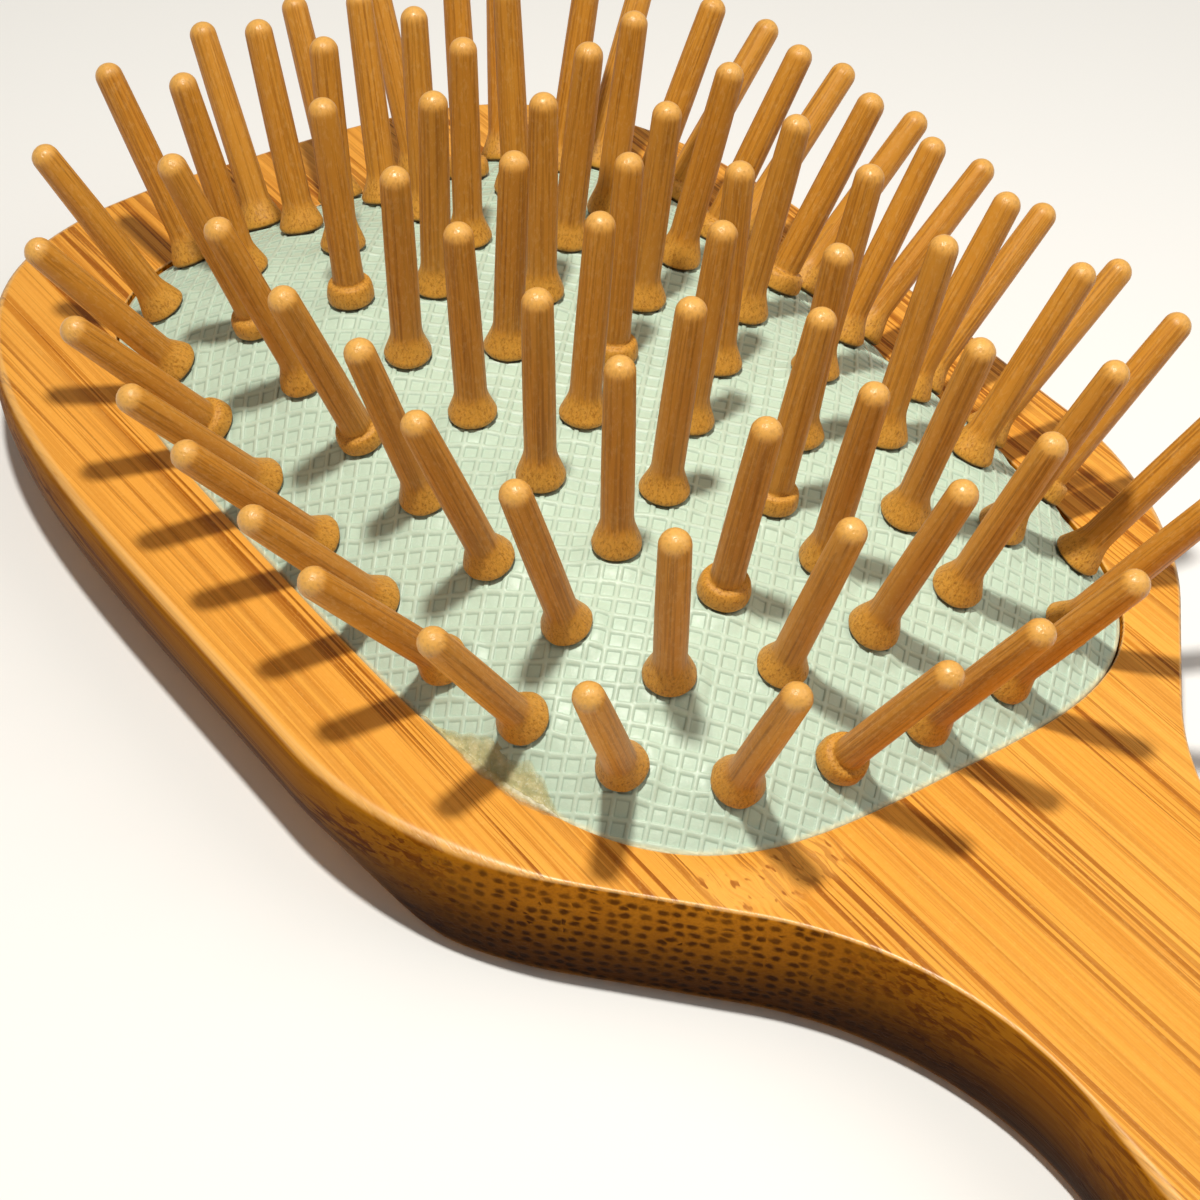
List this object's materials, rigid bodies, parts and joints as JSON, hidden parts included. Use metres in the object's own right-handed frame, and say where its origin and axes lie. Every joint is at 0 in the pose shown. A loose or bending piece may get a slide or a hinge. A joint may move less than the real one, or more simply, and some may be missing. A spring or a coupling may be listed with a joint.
{
  "type": "paddle brush",
  "caption": "Paddle hairbrush with a bamboo body, a domed rubber cushion in a milled pocket and turned bamboo pins that rock in the cushion.",
  "frame": {"origin": "on the flat back of the bamboo body, under the middle of the cushion", "axes": "+Y from the handle to the head along the brush, +Z the way the pins stand, +X across the head"},
  "size_m": [0.083, 0.239, 0.0413],
  "materials": {
    "bamboo_board": "satin lacquered amber bamboo",
    "bamboo_pin": "lacquered turned bamboo",
    "cushion_rubber": "matt pale green rubber with a fine pressed grid",
    "adhesive": "clear yellowish contact adhesive"
  },
  "bodies": {
    "bamboo_body": {"bamboo_body": "bamboo_board", "adhesive_bead": "adhesive"},
    "cushion": {"rubber_cushion": "cushion_rubber"},
    "pin_middle": {"pin_middle": "bamboo_pin"},
    "pins_middle_pair": {"pins_middle_pair": "bamboo_pin"},
    "pins_outer_ends": {"pins_outer_ends": "bamboo_pin"},
    "pins_outer_left_1": {"pins_outer_left_1": "bamboo_pin"},
    "pins_outer_left_2": {"pins_outer_left_2": "bamboo_pin"},
    "pins_outer_left_3": {"pins_outer_left_3": "bamboo_pin"},
    "pins_outer_left_4": {"pins_outer_left_4": "bamboo_pin"},
    "pins_outer_left_5": {"pins_outer_left_5": "bamboo_pin"},
    "pins_outer_left_6": {"pins_outer_left_6": "bamboo_pin"},
    "pins_outer_left_7": {"pins_outer_left_7": "bamboo_pin"},
    "pins_outer_right_1": {"pins_outer_right_1": "bamboo_pin"},
    "pins_outer_right_2": {"pins_outer_right_2": "bamboo_pin"},
    "pins_outer_right_3": {"pins_outer_right_3": "bamboo_pin"},
    "pins_outer_right_4": {"pins_outer_right_4": "bamboo_pin"},
    "pins_outer_right_5": {"pins_outer_right_5": "bamboo_pin"},
    "pins_outer_right_6": {"pins_outer_right_6": "bamboo_pin"},
    "pins_outer_right_7": {"pins_outer_right_7": "bamboo_pin"},
    "pins_second_ends": {"pins_second_ends": "bamboo_pin"},
    "pins_second_left_1": {"pins_second_left_1": "bamboo_pin"},
    "pins_second_left_2": {"pins_second_left_2": "bamboo_pin"},
    "pins_second_left_3": {"pins_second_left_3": "bamboo_pin"},
    "pins_second_left_4": {"pins_second_left_4": "bamboo_pin"},
    "pins_second_left_5": {"pins_second_left_5": "bamboo_pin"},
    "pins_second_right_1": {"pins_second_right_1": "bamboo_pin"},
    "pins_second_right_2": {"pins_second_right_2": "bamboo_pin"},
    "pins_second_right_3": {"pins_second_right_3": "bamboo_pin"},
    "pins_second_right_4": {"pins_second_right_4": "bamboo_pin"},
    "pins_second_right_5": {"pins_second_right_5": "bamboo_pin"},
    "pins_third_ends": {"pins_third_ends": "bamboo_pin"},
    "pins_third_left_1": {"pins_third_left_1": "bamboo_pin"},
    "pins_third_left_2": {"pins_third_left_2": "bamboo_pin"},
    "pins_third_left_3": {"pins_third_left_3": "bamboo_pin"},
    "pins_third_left_4": {"pins_third_left_4": "bamboo_pin"},
    "pins_third_right_1": {"pins_third_right_1": "bamboo_pin"},
    "pins_third_right_2": {"pins_third_right_2": "bamboo_pin"},
    "pins_third_right_3": {"pins_third_right_3": "bamboo_pin"},
    "pins_third_right_4": {"pins_third_right_4": "bamboo_pin"},
    "pins_inner_ends": {"pins_inner_ends": "bamboo_pin"},
    "pins_inner_left_1": {"pins_inner_left_1": "bamboo_pin"},
    "pins_inner_left_2": {"pins_inner_left_2": "bamboo_pin"},
    "pins_inner_right_1": {"pins_inner_right_1": "bamboo_pin"},
    "pins_inner_right_2": {"pins_inner_right_2": "bamboo_pin"}
  },
  "joints": [
    {"name": "cushion_press", "type": "slide", "parent": "bamboo_body", "child": "cushion", "axis": [0, 0, -1], "range_m": [0, 0.0025], "deforming": ["rubber_cushion"]},
    {"name": "pin_middle_rock", "type": "hinge", "parent": "cushion", "child": "pin_middle", "pos_m": [0, 0, 0.0212], "axis": [0, 1, 0], "range_deg": [-10, 10]},
    {"name": "pins_middle_pair_rock", "type": "hinge", "parent": "cushion", "child": "pins_middle_pair", "pos_m": [0, 0, 0.02114], "axis": [0, 1, 0], "range_deg": [-10, 10]},
    {"name": "pins_outer_ends_rock", "type": "hinge", "parent": "bamboo_body", "child": "pins_outer_ends", "pos_m": [0, 0, 0.01299], "axis": [0, 1, 0], "range_deg": [-10, 10]},
    {"name": "pins_outer_left_1_rock", "type": "hinge", "parent": "bamboo_body", "child": "pins_outer_left_1", "pos_m": [-0.00851, 0, 0.01304], "axis": [0, 1, 0], "range_deg": [-10, 10]},
    {"name": "pins_outer_left_2_rock", "type": "hinge", "parent": "bamboo_body", "child": "pins_outer_left_2", "pos_m": [-0.01674, 0, 0.01337], "axis": [0, 1, 0], "range_deg": [-10, 10]},
    {"name": "pins_outer_left_3_rock", "type": "hinge", "parent": "bamboo_body", "child": "pins_outer_left_3", "pos_m": [-0.02305, 0, 0.01371], "axis": [0, 1, 0], "range_deg": [-10, 10]},
    {"name": "pins_outer_left_4_rock", "type": "hinge", "parent": "bamboo_body", "child": "pins_outer_left_4", "pos_m": [-0.02634, 0, 0.01373], "axis": [0, 1, 0], "range_deg": [-10, 10]},
    {"name": "pins_outer_left_5_rock", "type": "hinge", "parent": "bamboo_body", "child": "pins_outer_left_5", "pos_m": [-0.02768, 0, 0.01361], "axis": [0, 1, 0], "range_deg": [-10, 10]},
    {"name": "pins_outer_left_6_rock", "type": "hinge", "parent": "bamboo_body", "child": "pins_outer_left_6", "pos_m": [-0.02806, 0, 0.01352], "axis": [0, 1, 0], "range_deg": [-10, 10]},
    {"name": "pins_outer_left_7_rock", "type": "hinge", "parent": "bamboo_body", "child": "pins_outer_left_7", "pos_m": [-0.0281, 0, 0.01351], "axis": [0, 1, 0], "range_deg": [-10, 10]},
    {"name": "pins_outer_right_1_rock", "type": "hinge", "parent": "bamboo_body", "child": "pins_outer_right_1", "pos_m": [0.00851, 0, 0.01304], "axis": [0, 1, 0], "range_deg": [-10, 10]},
    {"name": "pins_outer_right_2_rock", "type": "hinge", "parent": "bamboo_body", "child": "pins_outer_right_2", "pos_m": [0.01674, 0, 0.01337], "axis": [0, 1, 0], "range_deg": [-10, 10]},
    {"name": "pins_outer_right_3_rock", "type": "hinge", "parent": "bamboo_body", "child": "pins_outer_right_3", "pos_m": [0.02305, 0, 0.01371], "axis": [0, 1, 0], "range_deg": [-10, 10]},
    {"name": "pins_outer_right_4_rock", "type": "hinge", "parent": "bamboo_body", "child": "pins_outer_right_4", "pos_m": [0.02634, 0, 0.01373], "axis": [0, 1, 0], "range_deg": [-10, 10]},
    {"name": "pins_outer_right_5_rock", "type": "hinge", "parent": "bamboo_body", "child": "pins_outer_right_5", "pos_m": [0.02768, 0, 0.01361], "axis": [0, 1, 0], "range_deg": [-10, 10]},
    {"name": "pins_outer_right_6_rock", "type": "hinge", "parent": "bamboo_body", "child": "pins_outer_right_6", "pos_m": [0.02806, 0, 0.01352], "axis": [0, 1, 0], "range_deg": [-10, 10]},
    {"name": "pins_outer_right_7_rock", "type": "hinge", "parent": "bamboo_body", "child": "pins_outer_right_7", "pos_m": [0.0281, 0, 0.01351], "axis": [0, 1, 0], "range_deg": [-10, 10]},
    {"name": "pins_second_ends_rock", "type": "hinge", "parent": "cushion", "child": "pins_second_ends", "pos_m": [0, 0, 0.01702], "axis": [0, 1, 0], "range_deg": [-10, 10]},
    {"name": "pins_second_left_1_rock", "type": "hinge", "parent": "cushion", "child": "pins_second_left_1", "pos_m": [-0.00887, 0, 0.01702], "axis": [0, 1, 0], "range_deg": [-10, 10]},
    {"name": "pins_second_left_2_rock", "type": "hinge", "parent": "cushion", "child": "pins_second_left_2", "pos_m": [-0.0168, 0, 0.01731], "axis": [0, 1, 0], "range_deg": [-10, 10]},
    {"name": "pins_second_left_3_rock", "type": "hinge", "parent": "cushion", "child": "pins_second_left_3", "pos_m": [-0.0204, 0, 0.01789], "axis": [0, 1, 0], "range_deg": [-10, 10]},
    {"name": "pins_second_left_4_rock", "type": "hinge", "parent": "cushion", "child": "pins_second_left_4", "pos_m": [-0.02132, 0, 0.01818], "axis": [0, 1, 0], "range_deg": [-10, 10]},
    {"name": "pins_second_left_5_rock", "type": "hinge", "parent": "cushion", "child": "pins_second_left_5", "pos_m": [-0.02145, 0, 0.01825], "axis": [0, 1, 0], "range_deg": [-10, 10]},
    {"name": "pins_second_right_1_rock", "type": "hinge", "parent": "cushion", "child": "pins_second_right_1", "pos_m": [0.00887, 0, 0.01702], "axis": [0, 1, 0], "range_deg": [-10, 10]},
    {"name": "pins_second_right_2_rock", "type": "hinge", "parent": "cushion", "child": "pins_second_right_2", "pos_m": [0.0168, 0, 0.01731], "axis": [0, 1, 0], "range_deg": [-10, 10]},
    {"name": "pins_second_right_3_rock", "type": "hinge", "parent": "cushion", "child": "pins_second_right_3", "pos_m": [0.0204, 0, 0.01789], "axis": [0, 1, 0], "range_deg": [-10, 10]},
    {"name": "pins_second_right_4_rock", "type": "hinge", "parent": "cushion", "child": "pins_second_right_4", "pos_m": [0.02132, 0, 0.01818], "axis": [0, 1, 0], "range_deg": [-10, 10]},
    {"name": "pins_second_right_5_rock", "type": "hinge", "parent": "cushion", "child": "pins_second_right_5", "pos_m": [0.02145, 0, 0.01825], "axis": [0, 1, 0], "range_deg": [-10, 10]},
    {"name": "pins_third_ends_rock", "type": "hinge", "parent": "cushion", "child": "pins_third_ends", "pos_m": [0, 0, 0.01921], "axis": [0, 1, 0], "range_deg": [-10, 10]},
    {"name": "pins_third_left_1_rock", "type": "hinge", "parent": "cushion", "child": "pins_third_left_1", "pos_m": [-0.00923, 0, 0.01931], "axis": [0, 1, 0], "range_deg": [-10, 10]},
    {"name": "pins_third_left_2_rock", "type": "hinge", "parent": "cushion", "child": "pins_third_left_2", "pos_m": [-0.0135, 0, 0.02016], "axis": [0, 1, 0], "range_deg": [-10, 10]},
    {"name": "pins_third_left_3_rock", "type": "hinge", "parent": "cushion", "child": "pins_third_left_3", "pos_m": [-0.01403, 0, 0.02051], "axis": [0, 1, 0], "range_deg": [-10, 10]},
    {"name": "pins_third_left_4_rock", "type": "hinge", "parent": "cushion", "child": "pins_third_left_4", "pos_m": [-0.01405, 0, 0.02054], "axis": [0, 1, 0], "range_deg": [-10, 10]},
    {"name": "pins_third_right_1_rock", "type": "hinge", "parent": "cushion", "child": "pins_third_right_1", "pos_m": [0.00923, 0, 0.01931], "axis": [0, 1, 0], "range_deg": [-10, 10]},
    {"name": "pins_third_right_2_rock", "type": "hinge", "parent": "cushion", "child": "pins_third_right_2", "pos_m": [0.0135, 0, 0.02016], "axis": [0, 1, 0], "range_deg": [-10, 10]},
    {"name": "pins_third_right_3_rock", "type": "hinge", "parent": "cushion", "child": "pins_third_right_3", "pos_m": [0.01403, 0, 0.02051], "axis": [0, 1, 0], "range_deg": [-10, 10]},
    {"name": "pins_third_right_4_rock", "type": "hinge", "parent": "cushion", "child": "pins_third_right_4", "pos_m": [0.01405, 0, 0.02054], "axis": [0, 1, 0], "range_deg": [-10, 10]},
    {"name": "pins_inner_ends_rock", "type": "hinge", "parent": "cushion", "child": "pins_inner_ends", "pos_m": [0, 0, 0.02044], "axis": [0, 1, 0], "range_deg": [-10, 10]},
    {"name": "pins_inner_left_1_rock", "type": "hinge", "parent": "cushion", "child": "pins_inner_left_1", "pos_m": [-0.00685, 0, 0.02087], "axis": [0, 1, 0], "range_deg": [-10, 10]},
    {"name": "pins_inner_left_2_rock", "type": "hinge", "parent": "cushion", "child": "pins_inner_left_2", "pos_m": [-0.00695, 0, 0.02114], "axis": [0, 1, 0], "range_deg": [-10, 10]},
    {"name": "pins_inner_right_1_rock", "type": "hinge", "parent": "cushion", "child": "pins_inner_right_1", "pos_m": [0.00685, 0, 0.02087], "axis": [0, 1, 0], "range_deg": [-10, 10]},
    {"name": "pins_inner_right_2_rock", "type": "hinge", "parent": "cushion", "child": "pins_inner_right_2", "pos_m": [0.00695, 0, 0.02114], "axis": [0, 1, 0], "range_deg": [-10, 10]}
  ],
  "couplings": [
    {"joint": "pins_middle_pair_rock", "follows": "pin_middle_rock", "ratio": 1},
    {"joint": "pins_outer_ends_rock", "follows": "pin_middle_rock", "ratio": 1},
    {"joint": "pins_outer_left_1_rock", "follows": "pin_middle_rock", "ratio": 1},
    {"joint": "pins_outer_left_2_rock", "follows": "pin_middle_rock", "ratio": 1},
    {"joint": "pins_outer_left_3_rock", "follows": "pin_middle_rock", "ratio": 1},
    {"joint": "pins_outer_left_4_rock", "follows": "pin_middle_rock", "ratio": 1},
    {"joint": "pins_outer_left_5_rock", "follows": "pin_middle_rock", "ratio": 1},
    {"joint": "pins_outer_left_6_rock", "follows": "pin_middle_rock", "ratio": 1},
    {"joint": "pins_outer_left_7_rock", "follows": "pin_middle_rock", "ratio": 1},
    {"joint": "pins_outer_right_1_rock", "follows": "pin_middle_rock", "ratio": 1},
    {"joint": "pins_outer_right_2_rock", "follows": "pin_middle_rock", "ratio": 1},
    {"joint": "pins_outer_right_3_rock", "follows": "pin_middle_rock", "ratio": 1},
    {"joint": "pins_outer_right_4_rock", "follows": "pin_middle_rock", "ratio": 1},
    {"joint": "pins_outer_right_5_rock", "follows": "pin_middle_rock", "ratio": 1},
    {"joint": "pins_outer_right_6_rock", "follows": "pin_middle_rock", "ratio": 1},
    {"joint": "pins_outer_right_7_rock", "follows": "pin_middle_rock", "ratio": 1},
    {"joint": "pins_second_ends_rock", "follows": "pin_middle_rock", "ratio": 1},
    {"joint": "pins_second_left_1_rock", "follows": "pin_middle_rock", "ratio": 1},
    {"joint": "pins_second_left_2_rock", "follows": "pin_middle_rock", "ratio": 1},
    {"joint": "pins_second_left_3_rock", "follows": "pin_middle_rock", "ratio": 1},
    {"joint": "pins_second_left_4_rock", "follows": "pin_middle_rock", "ratio": 1},
    {"joint": "pins_second_left_5_rock", "follows": "pin_middle_rock", "ratio": 1},
    {"joint": "pins_second_right_1_rock", "follows": "pin_middle_rock", "ratio": 1},
    {"joint": "pins_second_right_2_rock", "follows": "pin_middle_rock", "ratio": 1},
    {"joint": "pins_second_right_3_rock", "follows": "pin_middle_rock", "ratio": 1},
    {"joint": "pins_second_right_4_rock", "follows": "pin_middle_rock", "ratio": 1},
    {"joint": "pins_second_right_5_rock", "follows": "pin_middle_rock", "ratio": 1},
    {"joint": "pins_third_ends_rock", "follows": "pin_middle_rock", "ratio": 1},
    {"joint": "pins_third_left_1_rock", "follows": "pin_middle_rock", "ratio": 1},
    {"joint": "pins_third_left_2_rock", "follows": "pin_middle_rock", "ratio": 1},
    {"joint": "pins_third_left_3_rock", "follows": "pin_middle_rock", "ratio": 1},
    {"joint": "pins_third_left_4_rock", "follows": "pin_middle_rock", "ratio": 1},
    {"joint": "pins_third_right_1_rock", "follows": "pin_middle_rock", "ratio": 1},
    {"joint": "pins_third_right_2_rock", "follows": "pin_middle_rock", "ratio": 1},
    {"joint": "pins_third_right_3_rock", "follows": "pin_middle_rock", "ratio": 1},
    {"joint": "pins_third_right_4_rock", "follows": "pin_middle_rock", "ratio": 1},
    {"joint": "pins_inner_ends_rock", "follows": "pin_middle_rock", "ratio": 1},
    {"joint": "pins_inner_left_1_rock", "follows": "pin_middle_rock", "ratio": 1},
    {"joint": "pins_inner_left_2_rock", "follows": "pin_middle_rock", "ratio": 1},
    {"joint": "pins_inner_right_1_rock", "follows": "pin_middle_rock", "ratio": 1},
    {"joint": "pins_inner_right_2_rock", "follows": "pin_middle_rock", "ratio": 1}
  ]
}
